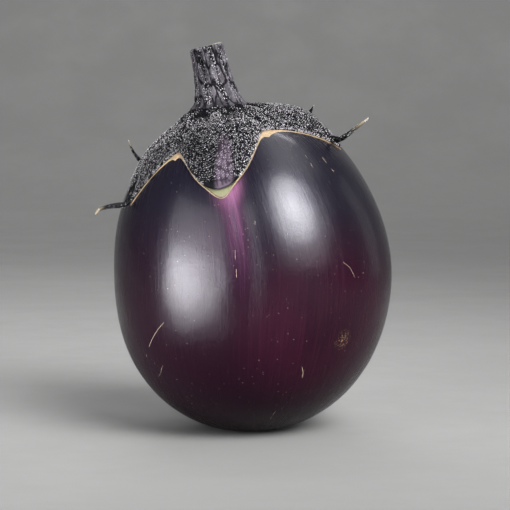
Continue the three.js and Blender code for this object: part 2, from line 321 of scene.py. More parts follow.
def meridian(direction):
    """Degrees round the fruit, along lines that run from the calyx to the blossom end."""
    pull = (max(0, direction.z) / AXIS.z) ** 2
    return math.degrees(math.atan2(direction.x - pull * AXIS.x, -(direction.y - pull * AXIS.y)))


def relief(direction, rib_height):
    crown = smooth(direction.angle(AXIS), 0.05, 0.6)
    fade = crown * smooth(direction.z, -0.93, 0.55)
    across = sepal_at(meridian(direction))[1]
    away = direction.angle(SHOULDER_DIRECTION) / SHOULDER_SPREAD
    return -rib_height * math.cos(math.pi * across) * fade + SHOULDER_SWELL * math.exp(-away * away)


def skin(direction, lift=0.0, rib_height=RIB_HEIGHT):
    """The point of the skin in a direction from the centre, lifted off it by some height."""
    above = direction.z > 0
    full = FULLNESS_ABOVE if above else FULLNESS_BELOW
    outwards = math.hypot(direction.x, direction.y) / FRUIT_RADIUS
    upwards = abs(direction.z) / (RISE if above else DROP)
    distance = (outwards**full + upwards**full) ** (-1 / full) + relief(direction, rib_height) + lift
    if direction.z < 0:
        distance = min(distance, WIDEST_HEIGHT / -direction.z)
    point = CENTRE + direction * distance
    point.x += BOW * (1 - smooth(abs(direction.z), 0, 0.7 if above else 1))
    return point


def calyx_direction(out, turned):
    """The direction at some degrees out from the calyx axis and round it."""
    a = math.radians(out)
    b = math.radians(turned)
    level = RIGHTWARD * (math.sin(a) * math.sin(b)) - BACKWARD * (math.sin(a) * math.cos(b))
    reached = AXIS * math.cos(a) + level
    return Vector((reached.x * FRUIT_RADIUS, reached.y * FRUIT_RADIUS, reached.z * RISE)).normalized()


def calyx_angles(direction):
    """The reverse of calyx_direction: degrees out from the calyx axis and round it."""
    d = Vector((direction.x / FRUIT_RADIUS, direction.y / FRUIT_RADIUS, direction.z / RISE)).normalized()
    out = math.degrees(math.acos(max(-1, min(1, d.dot(AXIS)))))
    return out, math.degrees(math.atan2(d.dot(RIGHTWARD), -d.dot(BACKWARD)))


def about_stem(radius, turned, height, lean):
    """A point round the stem's axis, in the plane that a lean gives."""
    b = math.radians(turned)
    along = Vector((-math.sin(STEM_LEAN), 0, math.cos(STEM_LEAN)))
    side = Vector((math.cos(lean), 0, math.sin(lean)))
    sideways = side * (radius * math.sin(b)) - BACKWARD * (radius * math.cos(b))
    return SEAT_CENTRE + along * height + sideways


def round_of(turn):
    """The angle round the calyx axis at a share of a full turn: each half sepal takes an equal share."""
    knots = [SEPALS[-1][1] - 360]
    for middle, notch, *_ in SEPALS:
        knots += [middle, notch]
    step = (turn % 1) * (len(knots) - 1)
    i = int(step)
    return blend(knots[i], knots[min(i + 1, len(knots) - 1)], step - i)


def out_at(portion, turned):
    """Degrees out from the calyx axis at a portion of the way from it to the edge."""
    reached = max(0, (portion - SEAT_SHARE) / (1 - SEAT_SHARE)) ** 1.5
    notch = notch_angle(turned)
    return notch * portion + (outline_angle(turned) - notch) * reached


def calyx_point(portion, turned, height, beyond=0.0):
    """A point at some height over the skin under the calyx, or a little beyond it."""
    out = out_at(portion, turned) + math.degrees(beyond / FRUIT_RADIUS)
    return skin(calyx_direction(out, turned), SEAM_GAP + height)


def cells(position, border=0.34):
    """0 on the borders of irregular cells one unit wide, rising to 1 inside them."""
    near = noise.voronoi(position)[0]
    return smooth(near[1] - near[0], 0.01, border)


def wrinkles(portion, turned):
    """The wrinkled hide of the calyx: long plates near the stem, small lumps further out."""
    reach = portion * 42
    round_stem = Vector((math.sin(math.radians(turned)), math.cos(math.radians(turned)), 0))
    long_cells = cells(round_stem * 4.4 + Vector((0, 0, reach / 9)))
    small_cells = cells(round_stem * reach / 1.7 + Vector((5, 5, 5.4)))
    return blend(long_cells, small_cells, smooth(portion, 0.42, 0.72))


def lip_share(portion, turned):
    """1 on the bare turned-up lip at the tip of the front sepal, 0 elsewhere."""
    if sepal_at(turned)[0] != FRONT:
        return 0
    return smooth(out_at(portion, turned), 51.3, 52.1)


def calyx_relief(portion, turned, point):
    """Folds, swelling and creases of the sepals, in millimetres."""
    number, across, _ = sepal_at(turned)
    body = smooth(portion, SEAT_SHARE, 0.62) * (1 - smooth(portion, 0.9, 1))
    crease = -1.4 * math.exp(-(((1 - abs(across)) / 0.09) ** 2)) * smooth(portion, 0.36, 0.7)
    crease *= 1 - smooth(portion, 0.9, 1)
    swell = 0.45 * (1 - across * across) * body
    folds = 0.5 * noise.noise(Vector((turned * 0.11, portion * 3.2, number))) * body
    lumps = 0.42 * noise.noise(point * 0.24) + 0.2 * noise.noise(point * 0.7)
    ridge = 0.5 * math.cos(math.radians(9 * turned)) * (1 - smooth(portion, 0.4, 0.7))
    hide = blend(0.6, 0.24, smooth(portion, 0.4, 0.75)) * (wrinkles(portion, turned) - 0.8) + ridge
    hide *= 1 - 0.6 * smooth(portion, 0.9, 1)
    lip = 0.0
    if number == FRONT:
        turned_up = lip_share(portion, turned)
        lip = turned_up * (0.85 - 0.5 * smooth(portion, 0.97, 1))
        hide *= 1 - turned_up
        ridge = math.exp(-(((across + 0.02) / 0.16) ** 2)) * smooth(portion, 0.4, 0.6)
        swell += 0.6 * ridge * (1 - smooth(portion, 0.9, 0.96))
    lumps *= (0.25 + 0.75 * body) * smooth(portion, 0.3, 0.5)
    return crease + swell + folds + hide * smooth(portion, 0.3, 0.4) + lumps + lip


def calyx_top(portion, turned, settings):
    """A point of the upper face of the calyx."""
    if portion <= SEAT_SHARE:
        return about_stem(portion / SEAT_SHARE * SEAT_RADIUS, turned, 0, SEAT_LEAN)
    across = sepal_at(turned)[1]
    thick = settings.thickness / MM
    rim = (thick - settings.edge_thickness / MM) * smooth(portion, 0.7, 1)
    crease = 0.35 * abs(across) ** 6 * smooth(portion, SEAT_SHARE, 0.7)
    height = thick - max(crease, rim)
    height += calyx_relief(portion, turned, calyx_point(portion, turned, thick))
    beyond = (portion - SEAT_SHARE) / (1 - SEAT_SHARE)
    rise = about_stem(SEAT_RADIUS, turned, 0, SEAT_LEAN) - calyx_point(SEAT_SHARE, turned, thick)
    return calyx_point(portion, turned, max(0.5, height)) + rise * math.exp(-((beyond / 0.22) ** 1.3))


def along_path(points, at):
    """A smooth curve through points, at from 0 to 1."""
    step = at * (len(points) - 1)
    i = min(int(step), len(points) - 2)
    t = step - i
    p1 = points[i]
    p2 = points[i + 1]
    p0 = points[i - 1] if i > 0 else p1 * 2 - p2
    p3 = points[i + 2] if i + 2 < len(points) else p2 * 2 - p1
    cubic = p1 * 3 - p0 - p2 * 3 + p3
    square = p0 * 2 - p1 * 5 + p2 * 4 - p3
    return (p1 * 2 + (p2 - p0) * t + square * (t * t) + cubic * (t * t * t)) * 0.5


def path_heading(points, at):
    """The direction in which a path runs."""
    return (along_path(points, min(1, at + 0.02)) - along_path(points, max(0, at - 0.02))).normalized()


def tail_path(number, path):
    """The points that a tail runs through, from its root sunk in the sepal."""
    middle, _, reach, *_ = SEPALS[number]

    def at(past, height, aside):
        out = reach + math.degrees(past / FRUIT_RADIUS)
        return skin(calyx_direction(out, middle + aside), SEAM_GAP + height)

    turn = path[0][2]
    return [at(-9, 0.9, 0.6 * turn), at(-5, 1.2, 0.85 * turn)] + [at(*point) for point in path]


def prickle_path(turned, out, tall, lean):
    """The points that a prickle runs through, bent towards the edge."""
    up = calyx_direction(out, turned)
    root = skin(up, SEAM_GAP + 0.8)
    down = (skin(calyx_direction(out + 4, turned)) - root).normalized()
    bend = root + up * (0.5 * tall + 0.8)
    tip = root + up * tall + down * (lean * tall)
    steps = (0, 0.25, 0.5, 0.75, 1)
    return [root * (1 - t) ** 2 + bend * (2 * t * (1 - t)) + tip * t * t for t in steps]


# ---------------------------------------------------------------- mesh making


def mesh_from(bm, name):
    mesh = bpy.data.meshes.new(name)
    bm.to_mesh(mesh)
    bm.free()
    return mesh


def ball(columns, rings, place, values):
    """A closed ball of columns and rings, each vertex put in place(turn, along), both from 0 to 1."""
    bm = bmesh.new()
    bmesh.ops.create_uvsphere(bm, u_segments=columns, v_segments=rings, radius=1)
    layers = {name: bm.verts.layers.float.new(name) for name in values}
    for vert in bm.verts:
        turn = (math.atan2(vert.co.y, vert.co.x) / (2 * math.pi)) % 1
        along = math.acos(max(-1, min(1, vert.co.z))) / math.pi
        for name, value in values.items():
            vert[layers[name]] = value(turn, along)
        vert.co = place(turn, along)
    bmesh.ops.recalc_face_normals(bm, faces=bm.faces)
    return bm


def taper(at, root_radius, tip_radius):
    """The radius of a tail or prickle, slimmer again where its root is sunk in."""
    return blend(root_radius, tip_radius, at**0.9) * (0.45 + 0.55 * smooth(at, 0, 0.2))


def spike(points, root_radius, tip_radius, flatness, columns, rings):
    """A tapered point along a path, thinned towards the skin at its root; along runs root to tip."""
    across_root = (points[0] - points[-1]).normalized()

    def place(turn, along):
        at = min(1, max(0, (along - 0.03) / 0.94))
        point = along_path(points, at)
        ahead = path_heading(points, at)
        aside = across_root.cross(CENTRE - point)
        aside = (aside - ahead * aside.dot(ahead)).normalized()
        radius = taper(at, root_radius, tip_radius) * (1 + 0.14 * noise.noise(point * 1.1))
        if along < 0.03 or along > 0.97:
            radius *= 0.02
        angle = 2 * math.pi * turn
        thickness = blend(flatness, 1, at) * radius
        sideways = aside * (radius * math.cos(angle))
        return point + sideways + ahead.cross(aside) * (thickness * math.sin(angle))

    return ball(columns, rings, place, {"dry": lambda turn, along: along})


def joined(parts):
    """Several bmeshes as one."""
    whole = parts[0]
    for extra in parts[1:]:
        mesh = mesh_from(extra, "joining")
        whole.from_mesh(mesh)
        bpy.data.meshes.remove(mesh)
    return whole


def made_object(bm, name, material):
    """A smoothly shaded object from a bmesh."""
    for face in bm.faces:
        face.smooth = True
    mesh = mesh_from(bm, name)
    mesh.materials.append(material)
    made = bpy.data.objects.new(name, mesh)
    bpy.context.scene.collection.objects.link(made)
    return made


def finished(bm, name, material, slot, *nodes):
    """Scales a bmesh from millimetres, makes it the named piece and lets it ride on the root body."""
    bmesh.ops.scale(bm, vec=(MM, MM, MM), verts=bm.verts)
    piece = made_object(bm, name, material)
    if nodes:
        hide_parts(*nodes)
    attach(piece, "root")
    return piece


def fruit_heading(turn, along):
    return heading(2 * math.pi * turn, math.pi * along)


def below_calyx(turn, along):
    """Millimetres from the calyx's edge down the skin."""
    out, turned = calyx_angles(fruit_heading(turn, along))
    return math.radians(out - outline_angle(turned)) * SKIN_DOWN


def furrow_stripe(turn, along):
    """The strength of the stripe in the furrow, with a fainter broad side on its left."""
    d = fruit_heading(turn, along)
    aside = meridian(d)
    middle = SEPALS[FRONT][0] + 2.5
    broad = 0.3 * hump(aside, middle, 24, 3.6) * (1 - smooth(d.z, 0.25, 0.55))
    return max(hump(aside, middle, 5.6, 3.6), broad) * smooth(d.z, -0.75, 0.55)


def under_front_sepal(middle, left, right):
    """A bump across the front sepal, carried down the skin."""

    def value(turn, along):
        number, across, _ = sepal_at(calyx_angles(fruit_heading(turn, along))[1])
        return hump(across, middle, left, right) if number == FRONT else 0

    return value


def round_skin(wave):
    """One coordinate of the ring on which the streaks are laid out."""
    return lambda turn, along: wave(math.radians(meridian(fruit_heading(turn, along)))) * SKIN_ROUND


def fruit_mesh(settings):
    rib = settings.rib_height / MM
    furrow = settings.furrow_depth / MM

    def place(turn, along):
        d = fruit_heading(turn, along)
        across = hump(meridian(d), SEPALS[FRONT][0] + 5, 5, 6.2)
        sunk = furrow * across * smooth(d.z, -0.7, 0.1) * (1 - smooth(d.z, 0.75, 0.97))
        ripple = 0.16 * noise.noise(d * 3.1) + 0.05 * noise.noise(d * 9)
        point = skin(d, ripple * smooth(d.z, -1, -0.9) - sunk, rib)
        if d.z < 0:
            # The hollow of the blossom scar, in the middle of the resting spot.
            from_middle = math.hypot(d.x, d.y) * 62
            point.z += 0.7 * (1 - smooth(from_middle, 2.2, 5))
        return point

    values = {
        "below_calyx": below_calyx,
        "stripe": furrow_stripe,
        "crescent": under_front_sepal(*CRESCENT),
        "glow": under_front_sepal(0.19, 0.22, 0.12),
        "run_x": round_skin(math.sin),
        "run_y": round_skin(math.cos),
        "run_z": lambda turn, along: along * STREAK_LENGTH,
    }
    return ball(320, 200, place, values)


def portion_at(along):
    """The portion of the way to the calyx's edge, at a share of the way over its shell."""
    if along < SEAT_END:
        return along / SEAT_END * SEAT_SHARE
    beyond = (along - SEAT_END) / (TOP_END - SEAT_END)
    return min(1, SEAT_SHARE + beyond * (1 - SEAT_SHARE))


def calyx_place(turned, along, settings):
    """A point of the calyx's shell: along runs from the seat over the edge and back underneath."""
    if along < TOP_END:
        return calyx_top(portion_at(along), turned, settings)
    if along < EDGE_END:
        bend = math.pi * (along - TOP_END) / (EDGE_END - TOP_END)
        top = calyx_top(1, turned, settings)
        foot = calyx_point(1, turned, 0)
        outwards = calyx_point(1, turned, 0, 1) - foot
        return foot + (top - foot) * (0.5 + 0.5 * math.cos(bend)) + outwards * (0.35 * math.sin(bend))
    portion = 1 - (along - EDGE_END) / (1 - EDGE_END)
    return calyx_point(portion, turned, 0.1 * (1 - portion))


def calyx_shell(settings):
    def place(turn, along):
        return calyx_place(round_of(turn), along, settings)

    def lip(turn, along):
        return lip_share(portion_at(along), round_of(turn)) if SEAT_END < along < EDGE_END else 0

    def groove(turn, along):
        if along >= TOP_END:
            return 0
        return 1 - wrinkles(max(SEAT_SHARE, portion_at(along)), round_of(turn))

    return ball(400, 116, place, {"lip": lip, "groove": groove})


def rim_bead(settings):
    """The corky line that the sepals leave on the skin, thicker in the notches."""
    half = settings.rim_width / MM / 2
    ring = 0.2
    bm = bmesh.new()
    made = bmesh.ops.create_circle(bm, segments=8, radius=ring, matrix=Matrix.Translation((1, 0, 0)))
    upright = Matrix.Rotation(math.pi / 2, 3, "X")
    bmesh.ops.rotate(bm, cent=(1, 0, 0), matrix=upright, verts=made["verts"])
    whole = {"cent": (0, 0, 0), "axis": (0, 0, 1), "angle": 2 * math.pi, "use_merge": True}
    bmesh.ops.spin(bm, geom=bm.verts[:] + bm.edges[:], steps=480, **whole)
    for vert in bm.verts:
        turn = (math.atan2(vert.co.y, vert.co.x) / (2 * math.pi)) % 1
        turned = round_of(turn)
        out = (math.hypot(vert.co.x, vert.co.y) - 1) / ring
        number, across, _ = sepal_at(turned)
        corner = math.exp(-(((1 - abs(across)) / 0.13) ** 1.15))
        pale = hump(across, *CRESCENT) if number == FRONT else 0
        wobble = 1 + 0.4 * noise.noise(Vector((turned * 0.35, 3.3, 0)))
        wide = half * wobble * (1 - 0.75 * pale) + 2.2 * corner
        middle = 0.2 + wide * 0.5 + 0.3 * corner + CRESCENT_HEIGHT * pale
        tall = (0.26 + 0.12 * corner) * wobble * (1 - 0.5 * pale)
        vert.co = calyx_point(1, turned, vert.co.z / ring * tall - SEAM_GAP, middle + out * wide)
    bmesh.ops.recalc_face_normals(bm, faces=bm.faces)
    return bm


def sway(spot):
    """A vector of noise, taken at three places far apart."""
    return Vector([noise.noise(spot + Vector((shift, 2 * shift, 0))) for shift in (0, 17.3, 31.7)])


def bark(turned, height):
    """0 in the dark cracks between the long plates of the stem's bark, up to 1 on the plates."""
    angle = math.radians(turned + 0.6 * height)
    spot = Vector((math.sin(angle) * 3.4, math.cos(angle) * 3.4, height / 8))
    bent = spot + sway(spot * 1.1) * 0.3
    fine = Vector((math.sin(angle) * 8.5, math.cos(angle) * 8.5, height / 3))
    return 0.72 * cells(bent, 0.22) + 0.28 * cells(fine, 0.3)


def bark_height(turned, height):
    """How proud the bark stands of the stem's mean surface."""
    return 0.75 * (bark(turned, height) - 0.75)


def stem_height(along):
    """Height on the stem's side, from its top to just inside the calyx."""
    down = min(1, max(0, along - CUT_END) / (SIDE_END - CUT_END))
    return (STEM_LENGTH + 0.3) * (1 - down) ** 1.15 - 0.5


def stem_radius(height):
    return STEM_RADIUS + STEM_FLARE * math.exp(-height / FLARE_HEIGHT)


def scar_mesh():
    """Fine corky scratches, half sunk in the skin."""
    parts = []
    for width, directions in SCARS:
        points = [
            skin(heading(math.radians(turned), math.radians(90 - raised)), 0.05)
            for turned, raised in directions
        ]
        parts.append(spike(points[::-1], 0.5 * width, 0.06, 0.7, 8, 40))
    return joined(parts)


def cut_face_height(outwards, turned):
    """The height of the slanting, slightly dished cut face."""
    slant = 0.07 * STEM_RADIUS * outwards * math.sin(math.radians(turned))
    dish = -0.35 * (1 - outwards * outwards)
    return STEM_LENGTH - 0.35 + slant + dish


def stem_mesh(settings):
    ridge_height = 0.8 * settings.ridge_height / MM

    def place(turn, along):
        turned = 360 * turn
        if along < CUT_END:
            outwards = along / CUT_END
            height = cut_face_height(outwards, turned)
            return about_stem(STEM_RADIUS * 0.93 * outwards, turned, height, STEM_LEAN)
        if along > SIDE_END:
            return about_stem((1 - along) / (1 - SIDE_END) * 11, turned, -0.9, SEAT_LEAN)
        height = stem_height(along)
        rise = max(0, height) / STEM_LENGTH
        radius = stem_radius(max(0, height)) + 1.5 * math.exp(-(max(0, height + 0.5) / 0.9))
        ridge = ridge_height * math.cos(math.radians(9 * turned + 120 * rise))
        radius += (ridge + bark_height(turned, height)) * min(1, 2.2 * rise + 0.5)
        radius -= 0.45 * (1 - smooth(along, CUT_END, 0.15))
        return about_stem(radius, turned, height, blend(SEAT_LEAN, STEM_LEAN, min(1, 2 * rise)))

    values = {
        "cut": lambda turn, along: 1 - smooth(along, 0.112, 0.124),
        "across_cut": lambda turn, along: along,
        "groove": lambda turn, along: 1 - bark(360 * turn, stem_height(along)) if along > CUT_END else 0,
    }
    return ball(190, 120, place, values)


def star_template(ray):
    """A stellate hair: three thin rays that rise a little from the surface."""
    bm = bmesh.new()
    raised = Matrix.Translation((0, 0, ray * 0.15))
    sizes = {"radius1": ray, "radius2": 0, "depth": ray * 0.3}
    bmesh.ops.create_cone(bm, cap_ends=True, segments=6, matrix=raised, **sizes)
    for vert in bm.verts:
        far = math.hypot(vert.co.x, vert.co.y)
        if far < 1e-6:
            continue
        point = round(math.degrees(math.atan2(vert.co.y, vert.co.x)) / 60)
        if point % 2:
            vert.co *= 0.16
        else:
            vert.co.z = ray * 0.34
    bmesh.ops.recalc_face_normals(bm, faces=bm.faces)
    return mesh_from(bm, "star hair")


def down_template(tall):
    """A short single hair: a three-sided point that leans away from the surface."""
    bm = bmesh.new()
    leaning = Matrix.Rotation(math.radians(60), 4, "X") @ Matrix.Translation((0, 0, tall * 0.4))
    sizes = {"radius1": tall * 0.45, "radius2": 0, "depth": tall}
    bmesh.ops.create_cone(bm, cap_ends=True, segments=3, matrix=leaning, **sizes)
    bmesh.ops.recalc_face_normals(bm, faces=bm.faces)
    return mesh_from(bm, "down hair")


def scattered(template, places):
    """Copies of a template mesh, one for each matrix in places."""
    bm = bmesh.new()
    for _ in places:
        bm.from_mesh(template)
    each = len(template.vertices)
    for index, vert in enumerate(bm.verts):
        vert.co = places[index // each] @ vert.co
    bpy.data.meshes.remove(template)
    return bm


def standing(point, up, chance, size):
    """A matrix that stands a hair on a surface, turned and tilted by chance."""
    tilt = Vector((chance.gauss(0, 0.3), chance.gauss(0, 0.3), chance.gauss(0, 0.3)))
    turn = (up + tilt).normalized().to_track_quat("Z", "Y").to_matrix().to_4x4()
    spin = Matrix.Rotation(chance.uniform(0, 2 * math.pi), 4, "Z")
    return Matrix.Translation(point) @ turn @ spin @ Matrix.Scale(size, 4)


# ---------------------------------------------------------------- materials


def feed(tree, node, inputs):
    """Links a node's inputs to sockets, or sets them to plain values."""
    for name, value in inputs.items():
        if isinstance(value, bpy.types.NodeSocket):
            tree.links.new(value, node.inputs[name])
        else:
            node.inputs[name].default_value = value


def add(tree, kind, inputs=None, **settings):
    """A new node with its settings and inputs."""
    made = tree.nodes.new(kind)
    for name, value in settings.items():
        setattr(made, name, value)
    feed(tree, made, inputs or {})
    return made


def maths(tree, operation, a, b, clamp=False):
    return add(tree, "ShaderNodeMath", {0: a, 1: b}, operation=operation, use_clamp=clamp).outputs[0]


def times(tree, a, b, clamp=False):
    return maths(tree, "MULTIPLY", a, b, clamp)


def plus(tree, a, b, clamp=False):
    return maths(tree, "ADD", a, b, clamp)


def minus(tree, a, b):
    return maths(tree, "SUBTRACT", a, b)


def ranged(tree, value, low, high, to_low=0.0, to_high=1.0):
    """A value's way from low to high, as an even curve from to_low to to_high."""
    names = {"Value": value, "From Min": low, "From Max": high, "To Min": to_low, "To Max": to_high}
    return add(tree, "ShaderNodeMapRange", names, interpolation_type="SMOOTHSTEP").outputs[0]


def mixed(tree, factor, a, b):
    return add(tree, "ShaderNodeMix", {0: factor, 6: a, 7: b}, data_type="RGBA").outputs[2]


def attribute(tree, name):
    return add(tree, "ShaderNodeAttribute", attribute_name=name).outputs["Fac"]


def grain(tree, vector, scale, detail, roughness):
    inputs = {"Vector": vector, "Scale": scale, "Detail": detail, "Roughness": roughness}
    return add(tree, "ShaderNodeTexNoise", inputs).outputs["Fac"]


def moved(tree, vector, **inputs):
    """A vector through a Mapping node."""
    return add(tree, "ShaderNodeMapping", {"Vector": vector, **inputs}).outputs[0]


def in_millimetres(tree):
    """Object coordinates, in millimetres."""
    coordinates = add(tree, "ShaderNodeTexCoord").outputs["Object"]
    return moved(tree, coordinates, Scale=(1 / MM, 1 / MM, 1 / MM))


def level_of(tree, spot):
    return add(tree, "ShaderNodeSeparateXYZ", {0: spot}).outputs[2]


def closeness(tree, spot, centre, radii):
    """1 at the centre of an ellipsoid, falling to 0 at its surface; millimetres."""
    scale = [1 / radius for radius in radii]
    offset = [-at / radius for at, radius in zip(centre, radii)]
    placed = moved(tree, spot, Location=offset, Scale=scale)
    ball_inside = add(tree, "ShaderNodeTexGradient", {"Vector": placed}, gradient_type="SPHERICAL")
    return ball_inside.outputs["Fac"]


def rgba(value, strength=1):
    return (*(part * strength for part in value), 1)


def new_material(name):
    material = bpy.data.materials.new(name)
    material.use_nodes = True
    tree = material.node_tree
    return material, tree, tree.nodes["Principled BSDF"]


def mottle_group():
    """Uneven dusty patches, specks and fine lumps, for the calyx and the stem."""
    if "plant mottle" in bpy.data.node_groups:
        return bpy.data.node_groups["plant mottle"]
    tree = bpy.data.node_groups.new("plant mottle", "ShaderNodeTree")
    tree.interface.new_socket(name="Vector", in_out="INPUT", socket_type="NodeSocketVector")
    tree.interface.new_socket(name="Scale", in_out="INPUT", socket_type="NodeSocketFloat")
    for name in ("Patches", "Specks", "Height"):
        tree.interface.new_socket(name=name, in_out="OUTPUT", socket_type="NodeSocketFloat")
    given = add(tree, "NodeGroupInput")
    vector = given.outputs["Vector"]
    scale = given.outputs["Scale"]
    broad = grain(tree, vector, times(tree, scale, 0.3), 4.0, 0.6)
    fine = grain(tree, vector, times(tree, scale, 2.4), 5.0, 0.7)
    spots = add(tree, "ShaderNodeTexVoronoi", {"Vector": vector, "Scale": times(tree, scale, 2.2)})
    dots = ranged(tree, spots.outputs["Distance"], 0.5, 0.12)
    given_back = {
        "Patches": ranged(tree, broad, 0.36, 0.66),
        "Specks": times(tree, dots, ranged(tree, fine, 0.42, 0.6)),
        "Height": plus(tree, plus(tree, times(tree, dots, 0.5), fine), times(tree, broad, 1.5)),
    }
    add(tree, "NodeGroupOutput", given_back)
    return tree


def mottle(tree, vector, scale):
    made = tree.nodes.new("ShaderNodeGroup")
    made.node_tree = mottle_group()
    feed(tree, made, {"Vector": vector, "Scale": scale})
    return made.outputs


def bumped(tree, height, strength, distance):
    """The normal that a height gives."""
    inputs = {"Height": height, "Strength": strength, "Distance": distance}
    return add(tree, "ShaderNodeBump", inputs).outputs[0]


def skin_streaks(tree):
    """Broad and fine streaks that run from the calyx to the round end."""
    run = {number: attribute(tree, name) for number, name in enumerate(("run_x", "run_y", "run_z"))}
    long_run = moved(tree, add(tree, "ShaderNodeCombineXYZ", run).outputs[0], Scale=(1, 1, 0.045))
    return grain(tree, long_run, 0.9, 6.0, 0.62), grain(tree, long_run, 3.2, 4.0, 0.6)


def ground_tone(tree, settings, spot, level, streaks):
    """Blue-black above, purple-black below, and maroon low in front, broken by the streaks."""
    wavering = plus(tree, level, times(tree, streaks, 22))
    tone = mixed(tree, ranged(tree, wavering, 58, 112), rgba(settings.dark), rgba(settings.black))
    blush = ranged(tree, closeness(tree, spot, *BLUSH), 0.0, 0.62, 0.04, 1.0)
    blush = times(tree, blush, ranged(tree, streaks, 0.3, 0.66, 0.5, 1.0))
    patches = grain(tree, spot, 0.035, 3.0, 0.5)
    blush = times(tree, blush, ranged(tree, patches, 0.3, 0.62, 0.6, 1.0), clamp=True)
    return mixed(tree, blush, tone, rgba(settings.maroon))


def furrow_tone(tree, settings, tone, streaks, fine_streaks):
    """The magenta stripe in the furrow, and the pale crescent with the glow below it."""
    below = attribute(tree, "below_calyx")
    stripe = times(tree, attribute(tree, "stripe"), ranged(tree, streaks, 0.28, 0.7, 0.35, 1.0))
    stripe = times(tree, stripe, ranged(tree, below, 50, 4, 0.03, 0.8))
    tone = mixed(tree, stripe, tone, rgba(settings.magenta))
    wander = times(tree, minus(tree, fine_streaks, 0.5), 2.4)
    glow = times(tree, ranged(tree, plus(tree, below, wander), 11, 0.5), attribute(tree, "glow"))
    glow = times(tree, glow, ranged(tree, fine_streaks, 0.3, 0.62, 0.4, 1.0))
    tone = mixed(tree, times(tree, glow, 0.8), tone, rgba(settings.glow))
    height = times(tree, attribute(tree, "crescent"), CRESCENT_HEIGHT)
    left_over = minus(tree, height, plus(tree, below, times(tree, wander, 0.3)))
    return mixed(tree, ranged(tree, left_over, -0.15, 0.5), tone, rgba(settings.pale))


def specks(tree, spot, scale, strength):
    """Rare tiny pale dots, in clusters; the scale is the number of cells in a millimetre."""
    dots = add(tree, "ShaderNodeTexVoronoi", {"Vector": spot, "Scale": scale})
    tint = add(tree, "ShaderNodeSeparateColor", {0: dots.outputs["Color"]})
    rare = ranged(tree, tint.outputs[0], 0.5, 0.6)
    small = ranged(tree, dots.outputs["Distance"], 0.21 * scale, 0.1 * scale, 0.0, strength)
    clusters = ranged(tree, grain(tree, spot, 0.05, 2.0, 0.5), 0.4, 0.62, 0.15, 1.0)
    return times(tree, times(tree, small, rare), clusters)


def scurf_mask(tree, spot):
    """A corky speckled patch low on the right."""
    crumbs = ranged(tree, grain(tree, spot, 1.7, 4.0, 0.75), 0.56, 0.63)
    return times(tree, crumbs, ranged(tree, closeness(tree, spot, *SCURF), 0.0, 0.5))


def blossom_scar(tree, spot, level):
    """A round corky scar in the middle of the resting spot."""
    inside = ranged(tree, closeness(tree, spot, (0, 0, 0), (5, 5, math.inf)), 0.0, 0.35)
    return times(tree, ranged(tree, level, 0.9, 0.2), inside)


def skin_height(tree, spot, streaks, fine_streaks):
    """The skin's fine relief: its streaks and two sizes of grain."""
    height = plus(tree, times(tree, streaks, 0.5), times(tree, fine_streaks, 0.28))
    height = plus(tree, height, times(tree, grain(tree, spot, 0.45, 2.0, 0.5), 0.5))
    return plus(tree, height, times(tree, grain(tree, spot, 1.5, 3.0, 0.7), 0.6))


def skin_material(settings):
    material, tree, shader = new_material("eggplant skin")
    spot = in_millimetres(tree)
    level = level_of(tree, spot)
    streaks, fine_streaks = skin_streaks(tree)
    tone = ground_tone(tree, settings, spot, level, streaks)
    tone = furrow_tone(tree, settings, tone, streaks, fine_streaks)
    pale_dots = plus(tree, specks(tree, spot, 0.3, 0.5), specks(tree, spot, 0.55, 0.35), clamp=True)
    tone = mixed(tree, pale_dots, tone, rgba(settings.scab))
    scurf = scurf_mask(tree, spot)
    tone = mixed(tree, scurf, tone, rgba(SCURF_COLOUR))
    tone = mixed(tree, blossom_scar(tree, spot, level), tone, rgba(BLOSSOM_SCAR_COLOUR))
    rough = plus(tree, times(tree, minus(tree, streaks, 0.5), 0.16), settings.roughness)
    finish = {
        "Base Color": tone,
        "Roughness": plus(tree, rough, times(tree, scurf, 0.3), clamp=True),
        "Normal": bumped(tree, skin_height(tree, spot, streaks, fine_streaks), 0.36, 0.0004),
        "IOR": 1.45,
        "Specular IOR Level": ranged(tree, level, *GLOSS_GROWS, 0.09, 0.24),
        "Specular Tint": (0.88, 0.87, 1, 1),
        "Coat Weight": ranged(tree, level, *GLOSS_GROWS, settings.wax * 0.3, settings.wax),
        "Coat Roughness": 0.16,
        "Coat IOR": 1.45,
        "Coat Tint": (0.95, 0.94, 1, 1),
    }
    feed(tree, shader, finish)
    return material


def flush_mask(tree, spot):
    """The purple middle of the front sepal, near its tip."""
    return ranged(tree, closeness(tree, spot, *FLUSH), 0.0, 0.5)


def calyx_material(settings):
    material, tree, shader = new_material("calyx flesh")
    spot = in_millimetres(tree)
    marks = mottle(tree, spot, 0.75)
    dusty = times(tree, marks["Specks"], ranged(tree, marks["Patches"], 0.0, 1.0, 0.35, 0.95))
    lip = attribute(tree, "lip")
    tone = mixed(tree, dusty, rgba(settings.flesh), rgba(settings.bloom))
    tone = mixed(tree, lip, tone, rgba(settings.lip))
    tone = mixed(tree, flush_mask(tree, spot), tone, rgba(settings.flush))
    tone = mixed(tree, times(tree, attribute(tree, "groove"), 0.8), tone, rgba(CREASE_COLOUR))
    tone = mixed(tree, ranged(tree, attribute(tree, "dry"), 0.65, 1.0), tone, rgba(settings.tan))
    finish = {
        "Base Color": tone,
        "Roughness": minus(tree, 0.78, times(tree, lip, 0.25)),
        "Normal": bumped(tree, marks["Height"], 0.6, 0.0005),
        "Specular IOR Level": 0.03,
    }
    feed(tree, shader, finish)
    return material


